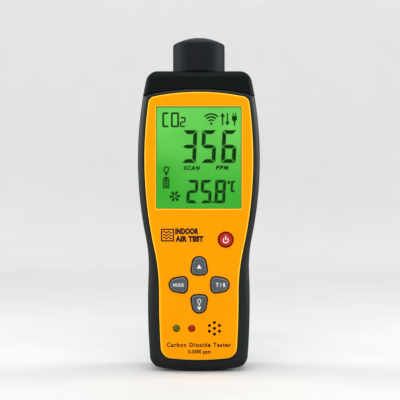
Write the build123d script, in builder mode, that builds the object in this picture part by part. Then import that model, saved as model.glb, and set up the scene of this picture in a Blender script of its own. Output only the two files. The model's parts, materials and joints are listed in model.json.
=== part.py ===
"""Handheld carbon dioxide monitor, as an assembly of separate pieces.

Frame: +Z runs up the instrument towards the sensor head, the display faces -Y, +X is to the
viewer's right. The origin is the mouth of the tripod socket, on the flat back face (Y = 0).
Fronts of pieces are drawn on FRONT, whose local y is the height above the bottom end, and whose
offset is the depth from the back face towards the viewer.
"""

import os
from math import asin, cos, degrees, radians, sin, sqrt

from build123d import *

# ---------------------------------------------------------------- driving dimensions, mm
SOCKET_HEIGHT = 95.0  # tripod socket above the bottom end
FRONT = Plane(origin=(0, 0, -SOCKET_HEIGHT), x_dir=(1, 0, 0), z_dir=(0, -1, 0))
UP = Plane(origin=(0, 0, -SOCKET_HEIGHT))

WALL = 2.2
PARTING = 20.0  # depth where the rear and front casings meet
CASE_FRONT = 37.6  # depth of the front casing's face
CAVITY_FRONT = 33.4  # depth of the underside of its front wall
PANEL_SEAT = 35.6
PANEL_CROWN = 40.0  # depth of the orange panel at its middle
PANEL_CROWN_R = 420.0
PANEL_WALL_BACK = 37.4

BODY_HALF = 37.3  # half width at the widest place
WIDEST = 129.0  # height of the widest place
BODY_BULGE_R = 234.0
WAIST_TOP = 81.5
WAIST_R = 86.0
GRIP_TURN = 2.5  # degrees the side leans out again under the waist
GRIP_BULGE_R = 428.0
BOTTOM_R = 135.0
BOTTOM_CORNER_R = 7.4
SEAM_R = 140.0  # arc of the joint between body and head
SEAM_APEX = 172.0
SEAM_MIDDLE = SEAM_APEX - SEAM_R
SEAM_GAP = 0.5
SEAM_GROOVE = 0.4  # shadow line round the sides where the casings meet

PANEL_HALF = 32.9
PANEL_BULGE_R = 249.0
PANEL_WAIST_TOP = 74.5
PANEL_WAIST_R = 119.0
PANEL_GRIP_TURN = 0.4
PANEL_GRIP_R = 444.0
PANEL_TOP = 169.6
PANEL_BOTTOM = 7.75
PANEL_BOTTOM_R = 160.0
PANEL_BOTTOM_CORNER_R = 6.6
PANEL_TOP_CORNER_R = 4.5
PANEL_GAP = 0.6
OVER_TOP, UNDER_BOTTOM = 180.0, -5.0  # outlines run past both ends before they are cut

HEAD_TOP, HEAD_TOP_HALF = 182.9, 31.05
HEAD_FOOT, HEAD_FOOT_HALF = 156.0, 36.5  # the head's outline runs on under the seam
HEAD_CORNER_R = 7.5
HEAD_FRONT = 37.0
HEAD_BACK = 0.6
MID_DEPTH = 19.6  # depth of the sensor's axis

CAP_R = 16.1
CAP_TOP = 205.0
CAP_DOME_R = 30.5
CAP_WALL = 1.7
SLEEVE_R = 14.2

WINDOW_W, WINDOW_H, WINDOW_MID = 51.6, 61.7, 129.9
WINDOW_BEVEL = 0.65
VIEW_W, VIEW_H = 51.2, 61.3  # what the gasket under the window leaves clear
BOARD_BACK, BOARD_T = 26.2, 1.6
BOARD_FRONT = BOARD_BACK + BOARD_T

KEY_TRAVEL = 0.8
KEY_GAP = 1.0
PAD_MID = (0.2, 53.15)  # middle of the four-key pad
PAD_REACH_X, PAD_REACH_Z = 12.5, 11.45
POWER_AT = (16.2, 80.4)
POWER_R = 3.9
KEY_FLANGE = 1.6  # how far a key's flange reaches under the panel, from the key's outline
PAD_KEY_TIP, PAD_KEY_TIP_R = 1.3, 3.7
PAD_KEY_HEEL, PAD_KEY_HEEL_X, PAD_KEY_HEEL_R = 2.65, 2.2, 2.2
PAD_KEY_BASE, PAD_KEY_BASE_R = 1.85, 3.2
KEYS = {  # turn of the outline, and where the key's middle is
    "power_key": (0, *POWER_AT),
    "up_key": (0, PAD_MID[0], PAD_MID[1] + PAD_REACH_Z),
    "mode_key": (90, PAD_MID[0] - PAD_REACH_X, PAD_MID[1]),
    "timer_key": (-90, PAD_MID[0] + PAD_REACH_X, PAD_MID[1]),
    "down_key": (180, PAD_MID[0], PAD_MID[1] - PAD_REACH_Z),
}
LAMP_HEIGHT = 26.9
GREEN_LAMP_X, RED_LAMP_X = -13.5, -4.3
SOUND_AT = (9.4, LAMP_HEIGHT)
SOUND_RING_R, SOUND_HOLE_R = 3.47, 0.95

DOOR_LOW, DOOR_HIGH, DOOR_HALF, DOOR_CORNER = 11.4, 78.4, 24.5, 3.0
DOOR_T = 1.2
DOOR_SCREW_HEIGHT = 74.2
CELL_R, CELL_L, CELL_PITCH, CELL_DEPTH = 7.1, 49.3, 14.8, 10.3
CELL_NUB = 1.2
CELLS_LOW, CELLS_HIGH = 13.4, 67.6
CELLS_HALF = 22.6
BOX_WALL, BOX_RIM, BOX_FLOOR = 1.2, 2.3, 17.8

CASE_SCREWS = ((29.5, 150.0, 28.0), (25.0, 84.0, 33.6), (17.0, 7.2, 33.6))  # x, height, boss end
SCREW_SINK = 4.0
SCREW_R, SCREW_HEAD_R = 1.4, 2.75
SLOT_L, SLOT_W, SLOT_SINK = 3.0, 0.7, 1.1  # the cross slot in a screw's head
HEAD_SCREWS = (22.0, 175.6)

FAN_HEIGHT, FAN_SIDE, FAN_T, FAN_BORE_R = 147.0, 25.0, 6.0, 11.6
FAN_BACK = 2.3
LABEL_MID, LABEL_W, LABEL_H = 119.0, 40.0, 18.0
SOCKET_R, SOCKET_L, INSERT_R = 3.175, 9.0, 5.0

FRONT_ROUND, BACK_ROUND, TOP_LIP_ROUND, HEAD_ROUND, PANEL_ROUND = 6.0, 5.0, 1.0, 4.5, 1.3
SEAT_WIDTH = 2.5  # ledge inside the front casing that carries the panel
PANEL_RIM = 2.6
COLLAR_INSET, COLLAR_WALL, COLLAR_RISE = 2.8, 2.0, 3.0
COLLAR_BACK, COLLAR_FRONT = 3.1, 34.5
COLLAR_ROOT = 0.8  # how far the collar runs down into the body's top wall
PASSAGE_R = 7.0
REAR_BOSS_R, FRONT_BOSS_R = 3.8, 3.2
SCREW_CLEAR_R, SCREW_PILOT_R, SCREW_SINK_R = 1.6, 1.45, 3.0
HEAD_BOSS_R, HEAD_BOSS_END, HEAD_SCREW_SINK = 4.0, 5.8, 3.2
DOOR_GAP, DOOR_BOSS_R, DOOR_BOSS_END = 0.25, 3.3, 4.6
DOOR_NUT_R, DOOR_NUT_END = 4.9, 14.0  # the boss that the battery cover's screw bites in
GRIP_ROWS, GRIP_PITCH, GRIP_L, GRIP_W, GRIP_SINK = 4, 3.0, 18.0, 1.2, 0.4
VENT_ROWS, VENT_PITCH, VENT_SLOT, VENT_R = 3, 3.2, 1.8, 11.4
FAN_PEG_R = 1.3
FAN_CORNERS = [(i * 10.0, FAN_HEIGHT + j * 10.0) for i in (-1, 1) for j in (-1, 1)]
LABEL_SINK = 0.3
LAMP_R = 2.1
GLASS_W, GLASS_H, GLASS_BACK, GLASS_FRONT = 55.2, 65.2, 36.3, 37.9
USB_W, USB_T, USB_DEPTH = 9.0, 3.3, 29.5
LCD_BACK, LCD_FRONT = 33.4, 35.8
LCD_W, LCD_H = 53.4, 63.4
LCD_LOW = WINDOW_MID - LCD_H / 2
GUIDE_W, GUIDE_H, GUIDE_T = 52.4, 58.4, 3.0
UPPER_BOSS_BESIDE = 26.0  # bosses further out than this stand at the board's edge
BOARD_SCREWS = ((-31.5, 118), (31.5, 118), (-26.2, 46), (26.2, 46))
BOARD_SCREW_R, BOARD_SCREW_HEAD_R, BOARD_POST_R = 0.9, 1.9, 2.3
SENSOR_PLUG, FAN_PLUG = (0.0, 160.0), (11.4, 150.0)
PLUG_BACK = 23.0
BUZZER_R = 6.0
LAMP_BACK, LAMP_FRONT = 35.4, 40.0
KEY_FLANGE_BACK, KEY_FRONT, KEY_ROUND, KEY_STEM_R = 36.2, 41.2, 0.6, 1.6
KEY_RIM, KEY_DISH = 0.85, 0.2  # each key has a shallow dish inside its rim
PLUNGER_R, PLUNGER_BACK, PLUNGER_FRONT = 1.7, 30.2, 33.0
SWITCH_W, SWITCH_FRONT = 6.0, 31.4
PLATE_T = 0.4
PLATES_LOW, PLATES_HIGH = CELLS_LOW + PLATE_T, CELLS_HIGH - PLATE_T
SPRING_R, SPRING_WIRE_R, SPRING_TURNS, SPRING_TAPER = 4.5, 0.36, 4, 0.55
PLATE_W = 11.0
CELL_NUB_R = 2.6
COVER_SINK = 0.05  # how far the battery cover and the label lie below the back face
DOOR_SCREW_SINK = 2.4
FAN_HUB_R, FAN_SHAFT_R, FAN_PLATE_T, FAN_BLADES, FAN_BLADE_TIP = 5.0, 0.8, 1.0, 7, 10.9
BLADE_TILT = radians(40)
SLEEVE_IN_R, SLEEVE_FOOT, SLEEVE_TOP = 12.0, 179.3, 196.4
HEAD_FLANGE_R, HEAD_CEILING = 15.0, HEAD_TOP - WALL
RING_MID, RING_SEAT_R, RING_WIRE_R = 189.0, 13.0, 0.68
CAP_FOOT, CAP_ROUND, GRILLE_TOP = 183.1, 1.6, 201.2
CAP_HOLE_R = 0.6
GRILLE_WALL, GRILLE_PITCH, GRILLE_HOLE_R = 1.2, 3.5, 0.9
SENSOR_R, SENSOR_BOARD_R, SENSOR_PORT_R = 10.0, 13.5, 6.0
SENSOR_FOOT, SENSOR_TOP = 179.3, 194.8
CHIPS = ((-12, 88, 8, 8), (2, 90, 6, 5), (-5, 72, 5, 4), (14, 40, 4, 5), (-15, 36, 4, 4))

os.makedirs("parts", exist_ok=True)


# ---------------------------------------------------------------- helpers
def save(name, piece):
    """Labels a finished piece and writes it as the node of that name."""
    piece.label = name
    export_step(piece, f"parts/{name}.step")


def slab(shape, low, high, mode=Mode.ADD):
    """Extrudes a front-view shape between two depths."""
    with BuildSketch(FRONT.offset(low)) as outline:
        add(shape)
    extrude(outline.sketch, amount=high - low, mode=mode)


def block(x, height, width, tall, low, high, corner=0.0, mode=Mode.ADD):
    """A front-view rectangle about (x, height), extruded between two depths."""
    with BuildSketch(FRONT.offset(low)) as outline:
        with Locations((x, height)):
            if corner:
                RectangleRounded(width, tall, corner)
            else:
                Rectangle(width, tall)
    extrude(outline.sketch, amount=high - low, mode=mode)


def disc(spots, radius, low, high, mode=Mode.ADD):
    """Round bars about front-view points, between two depths."""
    with BuildSketch(FRONT.offset(low)) as outline:
        with Locations(*spots):
            Circle(radius)
    extrude(outline.sketch, amount=high - low, mode=mode)


def post(x, depth, radius, low, high, mode=Mode.ADD):
    """A round bar along Z at a depth, between two heights."""
    with BuildSketch(UP.offset(low)) as outline:
        with Locations((x, -depth)):
            Circle(radius)
    extrude(outline.sketch, amount=high - low, mode=mode)


def both_sides(x, height):
    return ((-x, height), (x, height))


def arched(radius, mode):
    """Cuts with a wide round bar about the middle of the arched joint of body and head."""
    disc([(0, SEAM_MIDDLE)], radius, -1, CASE_FRONT + 10, mode)


def lead(start, *points, radius, bends):
    """An insulated wire along straight runs and tangent arcs, through (x, depth, height) points."""
    route = [Vector(x, -d, h - SOCKET_HEIGHT) for x, d, h in (start, *points)]
    with BuildPart() as wire:
        with BuildLine() as path:
            FilletPolyline(*route, radius=bends)
        with BuildSketch(Plane(route[0], z_dir=route[1] - route[0])):
            Circle(radius)
        sweep(path=path.line)
    return wire.part


# ---------------------------------------------------------------- front-view outlines
# Each is a function of grow, the distance that the outline stands outside the piece's own edge.
def waisted_outline(half, widest, bulge_r, waist_top, waist_r, lean, grip_r, grow):
    """A face whose sides bulge, narrow to a waist and bulge again; its ends are left long."""
    turn = degrees(asin((widest - waist_top) / bulge_r))
    rise = degrees(asin((OVER_TOP - widest) / bulge_r))
    with BuildSketch() as shape:
        with BuildLine():
            bulge = CenterArc((half - bulge_r, widest), bulge_r + grow, -turn, turn + rise)
            waist = JernArc(bulge @ 0, (bulge % 0) * -1, waist_r - grow, turn + lean)
            upright = (waist @ 1).Y - (grip_r + grow) * sin(radians(lean))
            drop = degrees(asin((upright - UNDER_BOTTOM) / (grip_r + grow)))
            grip = JernArc(waist @ 1, waist % 1, grip_r + grow, -(lean + drop))
            mirror(about=Plane.YZ)
            for end in (bulge @ 1, grip @ 1):
                Line((-end.X, end.Y), (end.X, end.Y))
        make_face()
    return shape.sketch


def cut_to_arc(radius, middle_height, mode=Mode.INTERSECT):
    """Keeps what lies inside a large circle, which leaves an arched end, or takes it away."""
    with Locations((0, middle_height)):
        Circle(radius, mode=mode)


def body_outline(grow=0.0, arched_top=False):
    with BuildSketch() as shape:
        add(
            waisted_outline(
                BODY_HALF, WIDEST, BODY_BULGE_R, WAIST_TOP, WAIST_R, GRIP_TURN, GRIP_BULGE_R, grow
            )
        )
        cut_to_arc(BOTTOM_R + grow, BOTTOM_R)
        fillet(shape.vertices().group_by(Axis.Y)[0], BOTTOM_CORNER_R + grow)
        if arched_top:
            cut_to_arc(SEAM_R - SEAM_GAP + grow, SEAM_MIDDLE)
    return shape.sketch


def panel_outline(grow=0.0):
    with BuildSketch() as shape:
        add(
            waisted_outline(
                PANEL_HALF, WIDEST, PANEL_BULGE_R, PANEL_WAIST_TOP, PANEL_WAIST_R,
                PANEL_GRIP_TURN, PANEL_GRIP_R, grow,
            )
        )
        cut_to_arc(PANEL_BOTTOM_R + grow, PANEL_BOTTOM + PANEL_BOTTOM_R)
        cut_to_arc(SEAM_R + grow, PANEL_TOP - SEAM_R)
        fillet(shape.vertices().group_by(Axis.Y)[0], PANEL_BOTTOM_CORNER_R + grow)
        fillet(shape.vertices().group_by(Axis.Y)[-1], PANEL_TOP_CORNER_R + grow)
    return shape.sketch


def head_outline(grow=0.0):
    """The head's tapered sides and top; its foot runs on under the arched joint."""
    with BuildSketch() as shape:
        with BuildLine():
            Polyline(
                (-HEAD_FOOT_HALF - grow, HEAD_FOOT),
                (HEAD_FOOT_HALF + grow, HEAD_FOOT),
                (HEAD_TOP_HALF + grow, HEAD_TOP + grow),
                (-HEAD_TOP_HALF - grow, HEAD_TOP + grow),
                close=True,
            )
        make_face()
        fillet(shape.vertices().group_by(Axis.Y)[-1], HEAD_CORNER_R + grow)
    return shape.sketch


def collar_outline():
    """The arched collar on the body's top end, which the head slips over."""
    with BuildSketch() as shape:
        add(body_outline(-COLLAR_INSET))
        cut_to_arc(SEAM_R + COLLAR_RISE, SEAM_MIDDLE)
        cut_to_arc(SEAM_R - SEAM_GAP - COLLAR_ROOT, SEAM_MIDDLE, Mode.SUBTRACT)
    return shape.sketch


def collar_well_outline():
    """The hollow inside the collar, down to the body's arched top wall."""
    with BuildSketch() as shape:
        add(body_outline(-COLLAR_INSET - COLLAR_WALL))
        cut_to_arc(SEAM_R - SEAM_GAP, SEAM_MIDDLE, Mode.SUBTRACT)
    return shape.sketch


def door_outline(grow=0.0):
    with BuildSketch() as shape:
        with Locations((0, (DOOR_LOW + DOOR_HIGH) / 2)):
            RectangleRounded(
                2 * (DOOR_HALF + grow), DOOR_HIGH - DOOR_LOW + 2 * grow, DOOR_CORNER + grow
            )
    return shape.sketch


def key_outline(name, grow=0.0):
    """A key's outline at its place: round, or a shield whose narrow end points out of the pad."""
    angle, x, height = KEYS[name]
    with BuildSketch() as shape:
        if name == "power_key":
            Circle(POWER_R + grow)
        else:
            with Locations((0, PAD_KEY_TIP)):
                Circle(PAD_KEY_TIP_R + grow)
            with Locations((-PAD_KEY_HEEL_X, -PAD_KEY_HEEL), (PAD_KEY_HEEL_X, -PAD_KEY_HEEL)):
                Circle(PAD_KEY_HEEL_R + grow)
            with Locations((0, -PAD_KEY_BASE)):
                Circle(PAD_KEY_BASE_R + grow)
            make_hull()
    return Pos(x, height) * Rot(0, 0, angle) * shape.sketch


# ---------------------------------------------------------------- casings
with BuildPart() as body_block:
    slab(body_outline(), 0, CASE_FRONT)
    fillet(body_block.faces().sort_by(Axis.Y)[0].edges().sort_by(Axis.Z)[:-1], FRONT_ROUND)
    fillet(body_block.faces().sort_by(Axis.Y)[-1].edges().sort_by(Axis.Z)[:-1], BACK_ROUND)


def body_end(low, high):
    """The collar on the body's top end between two depths, and the air passage through it."""
    well_back, well_front = COLLAR_BACK + COLLAR_WALL, COLLAR_FRONT - COLLAR_WALL
    slab(collar_outline(), low, high)
    slab(collar_well_outline(), max(low, well_back), min(high, well_front), Mode.SUBTRACT)
    post(0, MID_DEPTH, PASSAGE_R, SEAM_APEX - 5, SEAM_APEX + 5, Mode.SUBTRACT)


with BuildPart() as rear_casing:
    add(body_block.part)
    arched(SEAM_R - SEAM_GAP, Mode.INTERSECT)
    split(bisect_by=FRONT.offset(PARTING), keep=Keep.BOTTOM)
    slab(body_outline(-WALL, True), WALL, PARTING, Mode.SUBTRACT)
    with BuildSketch(FRONT.offset(PARTING - SEAM_GROOVE)) as groove:
        add(body_outline(1))
        add(body_outline(-SEAM_GROOVE), mode=Mode.SUBTRACT)
    extrude(groove.sketch, amount=SEAM_GROOVE, mode=Mode.SUBTRACT)
    body_end(COLLAR_BACK, PARTING)
    # bosses for the casing screws, the head screws, the door screw and the tripod insert
    for x, height, _ in CASE_SCREWS:
        disc(both_sides(x, height), REAR_BOSS_R, WALL / 2, PARTING)
        disc(both_sides(x, height), SCREW_SINK_R, -1, SCREW_SINK, Mode.SUBTRACT)
        disc(both_sides(x, height), SCREW_CLEAR_R, -1, PARTING + 1, Mode.SUBTRACT)
    disc(both_sides(*HEAD_SCREWS), HEAD_BOSS_R + 0.3, 0, HEAD_BOSS_END + 0.1, Mode.SUBTRACT)
    for x, height in both_sides(*HEAD_SCREWS):
        block(x, height - 1.6, 7.6, 9.6, HEAD_BOSS_END + 0.1, 16)
    disc(both_sides(*HEAD_SCREWS), SCREW_PILOT_R, 5, 14, Mode.SUBTRACT)
    disc([(0, DOOR_SCREW_HEIGHT)], DOOR_NUT_R, WALL / 2, DOOR_NUT_END)
    disc([(0, SOCKET_HEIGHT)], INSERT_R + WALL, WALL / 2, SOCKET_L + 2)
    disc([(0, SOCKET_HEIGHT)], INSERT_R, -1, SOCKET_L, Mode.SUBTRACT)
    # battery opening with the step that the cover sits in
    slab(door_outline(DOOR_GAP), -1, DOOR_T + 0.1, Mode.SUBTRACT)
    block(
        0, (CELLS_LOW + CELLS_HIGH) / 2, 2 * CELLS_HALF, CELLS_HIGH - CELLS_LOW, -1, WALL + 1,
        mode=Mode.SUBTRACT,
    )
    disc([(0, DOOR_SCREW_HEIGHT)], DOOR_BOSS_R + 0.3, -1, DOOR_BOSS_END + 0.2, Mode.SUBTRACT)
    disc([(0, DOOR_SCREW_HEIGHT)], SCREW_PILOT_R, 0, 13, Mode.SUBTRACT)
    # exhaust slots over the fan, with pegs that hold it
    for row in range(-VENT_ROWS, VENT_ROWS + 1):
        rise = row * VENT_PITCH
        with BuildSketch(FRONT.offset(-1)):
            with Locations((0, FAN_HEIGHT + rise)):
                SlotOverall(2 * sqrt(VENT_R**2 - rise**2), VENT_SLOT)
        extrude(amount=WALL + 2, mode=Mode.SUBTRACT)
    disc(FAN_CORNERS, FAN_PEG_R, WALL / 2, FAN_BACK + FAN_T + 0.8)
    block(0, LABEL_MID, LABEL_W + 0.5, LABEL_H + 0.5, -1, LABEL_SINK, 1.6, Mode.SUBTRACT)
save("rear_casing", rear_casing.part)

with BuildPart() as front_casing:
    add(body_block.part)
    arched(SEAM_R - SEAM_GAP, Mode.INTERSECT)
    fillet(front_casing.faces().sort_by(Axis.Y)[0].edges().sort_by(Axis.Z)[-1], TOP_LIP_ROUND)
    split(bisect_by=FRONT.offset(PARTING), keep=Keep.TOP)
    slab(body_outline(-WALL, True), PARTING, CAVITY_FRONT, Mode.SUBTRACT)
    slab(panel_outline(-SEAT_WIDTH), CAVITY_FRONT - 1, PANEL_SEAT + 1, Mode.SUBTRACT)
    slab(panel_outline(PANEL_GAP), PANEL_SEAT, CASE_FRONT + 1, Mode.SUBTRACT)
    body_end(PARTING, COLLAR_FRONT)
    for x, height, boss_end in CASE_SCREWS:
        disc(both_sides(x, height), FRONT_BOSS_R, PARTING, boss_end)
        disc(both_sides(x, height), SCREW_PILOT_R, PARTING - 1, boss_end - 1, Mode.SUBTRACT)
    disc(BOARD_SCREWS, BOARD_POST_R, BOARD_FRONT, CAVITY_FRONT)
    disc(BOARD_SCREWS, BOARD_SCREW_R + 0.05, BOARD_FRONT - 1, CAVITY_FRONT, Mode.SUBTRACT)
    for side in (-1, 1):  # webs that join the upper bosses to the side walls
        block(side * 33.6, CASE_SCREWS[0][1], 3.4, 2.4, PARTING, BOARD_BACK - 0.4)
    with BuildSketch(UP.offset(-1)):
        with Locations((0, -USB_DEPTH)):
            SlotOverall(USB_W + 0.8, USB_T + 0.8)
    extrude(amount=5, mode=Mode.SUBTRACT)
save("front_casing", front_casing.part)

with BuildPart() as front_panel:
    slab(panel_outline(), PANEL_SEAT, PANEL_CROWN + 1)
    with BuildSketch(UP):  # crowned across its width
        with Locations((0, PANEL_CROWN_R - PANEL_CROWN)):
            Circle(PANEL_CROWN_R)
    extrude(amount=HEAD_TOP, mode=Mode.INTERSECT)
    fillet(front_panel.faces().sort_by(Axis.Y)[0].edges(), PANEL_ROUND)
    slab(panel_outline(-PANEL_RIM), PANEL_SEAT, PANEL_WALL_BACK, Mode.SUBTRACT)
    block(0, WINDOW_MID, GLASS_W + 0.4, GLASS_H + 0.4, PANEL_SEAT, GLASS_FRONT + 0.1, 1.2,
          Mode.SUBTRACT)
    block(0, WINDOW_MID, WINDOW_W, WINDOW_H, PANEL_SEAT, PANEL_CROWN + 1, 0.5, Mode.SUBTRACT)
    crowned = front_panel.faces().sort_by(SortBy.AREA)[-1]
    chamfer(max(crowned.inner_wires(), key=lambda wire: wire.length).edges(), WINDOW_BEVEL)
    for key in KEYS:
        slab(key_outline(key, KEY_GAP), PANEL_SEAT, PANEL_CROWN + 1, Mode.SUBTRACT)
    disc([(GREEN_LAMP_X, LAMP_HEIGHT), (RED_LAMP_X, LAMP_HEIGHT)], LAMP_R + 0.12, PANEL_SEAT,
         PANEL_CROWN + 1, Mode.SUBTRACT)
    with BuildSketch(FRONT.offset(PANEL_SEAT)):
        with Locations(SOUND_AT):
            Circle(SOUND_HOLE_R)
            with PolarLocations(SOUND_RING_R, 6, start_angle=30):
                Circle(SOUND_HOLE_R)
    extrude(amount=6, mode=Mode.SUBTRACT)
save("front_panel", front_panel.part)

with BuildPart() as head_shell:
    slab(head_outline(), HEAD_BACK, HEAD_FRONT)
    fillet(head_shell.faces().sort_by(Axis.Y)[0].edges().sort_by(Axis.Z)[1:], HEAD_ROUND)
    fillet(head_shell.faces().sort_by(Axis.Y)[-1].edges().sort_by(Axis.Z)[1:], HEAD_ROUND)
    arched(SEAM_R, Mode.SUBTRACT)
    slab(head_outline(-WALL), HEAD_BACK + WALL, HEAD_FRONT - WALL, Mode.SUBTRACT)
    post(0, MID_DEPTH, SLEEVE_R + 0.05, HEAD_TOP - 5, HEAD_TOP + 5, Mode.SUBTRACT)
    disc(both_sides(*HEAD_SCREWS), HEAD_BOSS_R, HEAD_BACK + WALL / 2, HEAD_BOSS_END)
    disc(both_sides(*HEAD_SCREWS), SCREW_SINK_R, -1, HEAD_SCREW_SINK, Mode.SUBTRACT)
    disc(both_sides(*HEAD_SCREWS), SCREW_CLEAR_R, -1, HEAD_BOSS_END + 1, Mode.SUBTRACT)
save("head_shell", head_shell.part)

# ---------------------------------------------------------------- display
def framed(mid, outer, inner, low, high, corner=1.0):
    """A rectangular frame about the height mid, between two depths; outer and inner are sizes."""
    block(0, mid, *outer, low, high, corner)
    block(0, mid, *inner, low - 1, high + 1, 0.4, Mode.SUBTRACT)


with BuildPart() as display_window:
    block(0, WINDOW_MID, GLASS_W, GLASS_H, GLASS_BACK, GLASS_FRONT, 1.0)
save("display_window", display_window.part)

with BuildPart() as lens_gasket:
    framed(WINDOW_MID, (GLASS_W, GLASS_H), (VIEW_W, VIEW_H), LCD_FRONT, GLASS_BACK)
save("lens_gasket", lens_gasket.part)

with BuildPart() as lcd_glass:
    block(0, WINDOW_MID, LCD_W, LCD_H, LCD_BACK, LCD_FRONT, 0.4)
save("lcd_glass", lcd_glass.part)

with BuildPart() as lcd_holder:
    framed(
        WINDOW_MID, (LCD_W + 3.0, LCD_H + 3.0), (LCD_W + 0.4, LCD_H + 0.4), BOARD_FRONT + 0.3,
        PANEL_SEAT, 3,
    )
save("lcd_holder", lcd_holder.part)

with BuildPart() as light_guide:
    block(0, WINDOW_MID, GUIDE_W, GUIDE_H, LCD_BACK - 0.3 - GUIDE_T, LCD_BACK - 0.3, 0.5)
save("light_guide", light_guide.part)

with BuildPart() as backlight_leds:
    for x in (-18, -6, 6, 18):
        block(x, LCD_LOW + 0.9, 3.5, 1.2, BOARD_FRONT, LCD_BACK - 0.8)
save("backlight_leds", backlight_leds.part)

with BuildPart() as lcd_connector:
    block(0, LCD_LOW + LCD_H - 0.9, LCD_W - 6, 1.4, BOARD_FRONT, LCD_BACK)
save("lcd_connector", lcd_connector.part)

# ---------------------------------------------------------------- circuit board and its parts
with BuildPart() as main_board:
    slab(body_outline(-WALL - 1.2, True), BOARD_BACK, BOARD_FRONT)
    for x, height, _ in CASE_SCREWS:
        disc(both_sides(x, height), FRONT_BOSS_R + 0.5, BOARD_BACK - 1, BOARD_FRONT + 1,
             Mode.SUBTRACT)
        if x > UPPER_BOSS_BESIDE:  # the upper bosses stand in slots open to the board's edge
            for side in (-1, 1):
                block(side * (x + 4), height, 8, 2 * FRONT_BOSS_R + 1, BOARD_BACK - 1,
                      BOARD_FRONT + 1, mode=Mode.SUBTRACT)
    disc(BOARD_SCREWS, BOARD_SCREW_R + 0.15, BOARD_BACK - 1, BOARD_FRONT + 1, Mode.SUBTRACT)
save("main_board", main_board.part)

with BuildPart() as board_screws:
    disc(BOARD_SCREWS, BOARD_SCREW_HEAD_R, BOARD_BACK - 1.4, BOARD_BACK)
    disc(BOARD_SCREWS, BOARD_SCREW_R, BOARD_BACK, BOARD_BACK + 6)
save("board_screws", board_screws.part)

with BuildPart() as board_chips:
    for x, height, width, tall in CHIPS:
        block(x, height, width, tall, BOARD_BACK - 1.6, BOARD_BACK)
save("board_chips", board_chips.part)

with BuildPart() as board_connectors:
    for x, height in (SENSOR_PLUG, FAN_PLUG):
        block(x, height, 6, 4, PLUG_BACK, BOARD_BACK)
save("board_connectors", board_connectors.part)

with BuildPart() as usb_socket:
    with BuildSketch(UP.offset(0.8)) as usb_outline:
        with Locations((0, -USB_DEPTH)):
            SlotOverall(USB_W, USB_T)
            SlotOverall(USB_W - 0.7, USB_T - 0.7, mode=Mode.SUBTRACT)
    extrude(usb_outline.sketch, amount=7.4)
    with BuildSketch(UP.offset(7.4)) as usb_end:
        with Locations((0, -USB_DEPTH)):
            SlotOverall(USB_W - 0.35, USB_T - 0.35)
    extrude(usb_end.sketch, amount=0.8)
    with BuildSketch(UP.offset(2.0)) as usb_tongue:
        with Locations((0, -USB_DEPTH)):
            Rectangle(6.6, 0.7)
    extrude(usb_tongue.sketch, amount=5.6)
save("usb_socket", usb_socket.part)

with BuildPart() as buzzer:
    disc([SOUND_AT], BUZZER_R, BOARD_FRONT, PANEL_WALL_BACK - 1.2)
    disc([SOUND_AT], 1.2, PANEL_WALL_BACK - 2.2, PANEL_WALL_BACK, Mode.SUBTRACT)
save("buzzer", buzzer.part)

for lamp, lamp_x in (("green_lamp", GREEN_LAMP_X), ("red_lamp", RED_LAMP_X)):
    with BuildPart() as lamp_part:
        with BuildSketch(FRONT.offset(LAMP_BACK)) as lamp_barrel:
            with Locations((lamp_x, LAMP_HEIGHT)):
                Circle(LAMP_R)
        extrude(lamp_barrel.sketch, amount=LAMP_FRONT - LAMP_BACK)
        fillet(lamp_part.edges().group_by(Axis.Y)[0], 0.9)
        disc([(lamp_x, LAMP_HEIGHT)], LAMP_R + 0.45, LAMP_BACK, LAMP_BACK + 1)
        for side in (-1.27, 1.27):
            block(lamp_x + side, LAMP_HEIGHT, 0.5, 0.5, BOARD_FRONT, LAMP_BACK)
    save(lamp, lamp_part.part)

# ---------------------------------------------------------------- keys and their switches
for name, (_, x, height) in KEYS.items():
    with BuildPart() as key:
        slab(key_outline(name), KEY_FLANGE_BACK + 1, KEY_FRONT)
        fillet(key.faces().sort_by(Axis.Y)[0].edges(), KEY_ROUND)
        slab(key_outline(name, -KEY_RIM), KEY_FRONT - KEY_DISH, KEY_FRONT + 1, Mode.SUBTRACT)
        slab(key_outline(name, KEY_FLANGE), KEY_FLANGE_BACK, PANEL_WALL_BACK - 0.1)
        disc([(x, height)], KEY_STEM_R, PLUNGER_FRONT, KEY_FLANGE_BACK)
    save(name, key.part)

    with BuildPart() as plunger:
        disc([(x, height)], PLUNGER_R, PLUNGER_BACK, PLUNGER_FRONT)
    save(name.replace("_key", "_plunger"), plunger.part)

with BuildPart() as tact_switches:
    for _, x, height in KEYS.values():
        block(x, height, SWITCH_W, SWITCH_W, BOARD_FRONT, SWITCH_FRONT)
        disc([(x, height)], PLUNGER_R + 0.1, PLUNGER_BACK - KEY_TRAVEL - 0.2, SWITCH_FRONT + 1,
             Mode.SUBTRACT)
save("tact_switches", tact_switches.part)

# ---------------------------------------------------------------- battery compartment
CELLS_MID, CELLS_SPAN = (CELLS_LOW + CELLS_HIGH) / 2, CELLS_HIGH - CELLS_LOW
CELL_XS = (-CELL_PITCH, 0, CELL_PITCH)

with BuildPart() as battery_box:
    block(0, CELLS_MID, 2 * (CELLS_HALF + BOX_WALL), CELLS_SPAN + 2 * BOX_WALL, BOX_RIM,
          BOX_FLOOR + BOX_WALL)
    block(0, CELLS_MID, 2 * CELLS_HALF, CELLS_SPAN, BOX_RIM - 1, BOX_FLOOR, mode=Mode.SUBTRACT)
    for x in (-CELL_PITCH / 2, CELL_PITCH / 2):  # low ribs between the cells
        block(x, CELLS_MID, 1.0, CELLS_SPAN - 14, BOX_FLOOR - 3, BOX_FLOOR)
save("battery_box", battery_box.part)

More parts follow.
